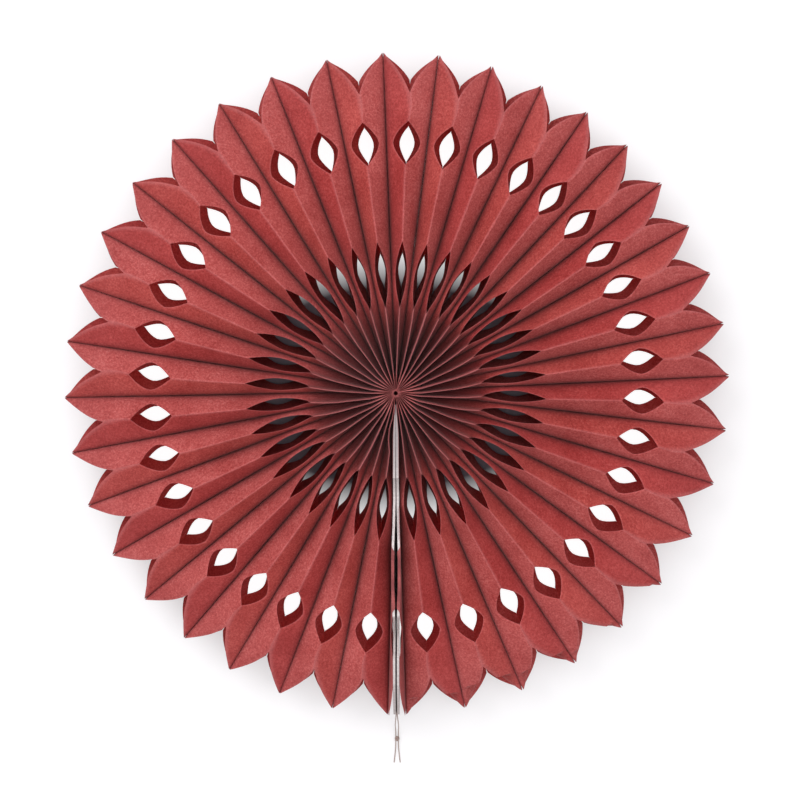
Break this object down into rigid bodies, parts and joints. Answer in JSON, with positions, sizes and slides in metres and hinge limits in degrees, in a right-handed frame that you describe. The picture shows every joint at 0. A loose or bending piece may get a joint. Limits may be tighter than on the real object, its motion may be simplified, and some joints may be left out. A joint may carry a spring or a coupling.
{
  "type": "honeycomb tissue paper fan",
  "caption": "Round honeycomb paper rosette of glued folded sleeves with pointed die-cut petals, almond holes and slots, two card covers at the seam and a knotted hanging thread.",
  "frame": {"origin": "on the rosette's axis, at the height of the surface that its rear ridges rest on", "axes": "+Z along the rosette's axis towards its front, -Y along the seam towards the thread, +X to the right seen from the front"},
  "size_m": [0.2999, 0.3288, 0.0321],
  "materials": {
    "burgundy_paper": "matte",
    "grey_card": "matte",
    "adhesive": "satin",
    "thread": "matte"
  },
  "bodies": {
    "root": {"sleeve_01": "burgundy_paper", "sleeve_02": "burgundy_paper", "sleeve_03": "burgundy_paper", "sleeve_04": "burgundy_paper", "sleeve_05": "burgundy_paper", "sleeve_06": "burgundy_paper", "sleeve_07": "burgundy_paper", "sleeve_08": "burgundy_paper", "sleeve_09": "burgundy_paper", "sleeve_10": "burgundy_paper", "sleeve_11": "burgundy_paper", "sleeve_12": "burgundy_paper", "sleeve_13": "burgundy_paper", "sleeve_14": "burgundy_paper", "sleeve_15": "burgundy_paper", "sleeve_16": "burgundy_paper", "sleeve_17": "burgundy_paper", "sleeve_18": "burgundy_paper", "sleeve_19": "burgundy_paper", "sleeve_20": "burgundy_paper", "sleeve_21": "burgundy_paper", "sleeve_22": "burgundy_paper", "sleeve_23": "burgundy_paper", "sleeve_24": "burgundy_paper", "sleeve_25": "burgundy_paper", "sleeve_26": "burgundy_paper", "sleeve_27": "burgundy_paper", "sleeve_28": "burgundy_paper", "sleeve_29": "burgundy_paper", "sleeve_30": "burgundy_paper", "sleeve_31": "burgundy_paper", "sleeve_32": "burgundy_paper", "sleeve_33": "burgundy_paper", "sleeve_34": "burgundy_paper", "sleeve_35": "burgundy_paper", "sleeve_36": "burgundy_paper", "sleeve_37": "burgundy_paper", "end_leaf_left": "burgundy_paper", "end_leaf_right": "burgundy_paper", "card_cover_left": "grey_card", "card_cover_right": "grey_card", "adhesive_strip_inner": "adhesive", "adhesive_strip_outer": "adhesive", "thread_left": "thread", "thread_right": "thread", "thread_knot": "thread"}
  },
  "joints": []
}
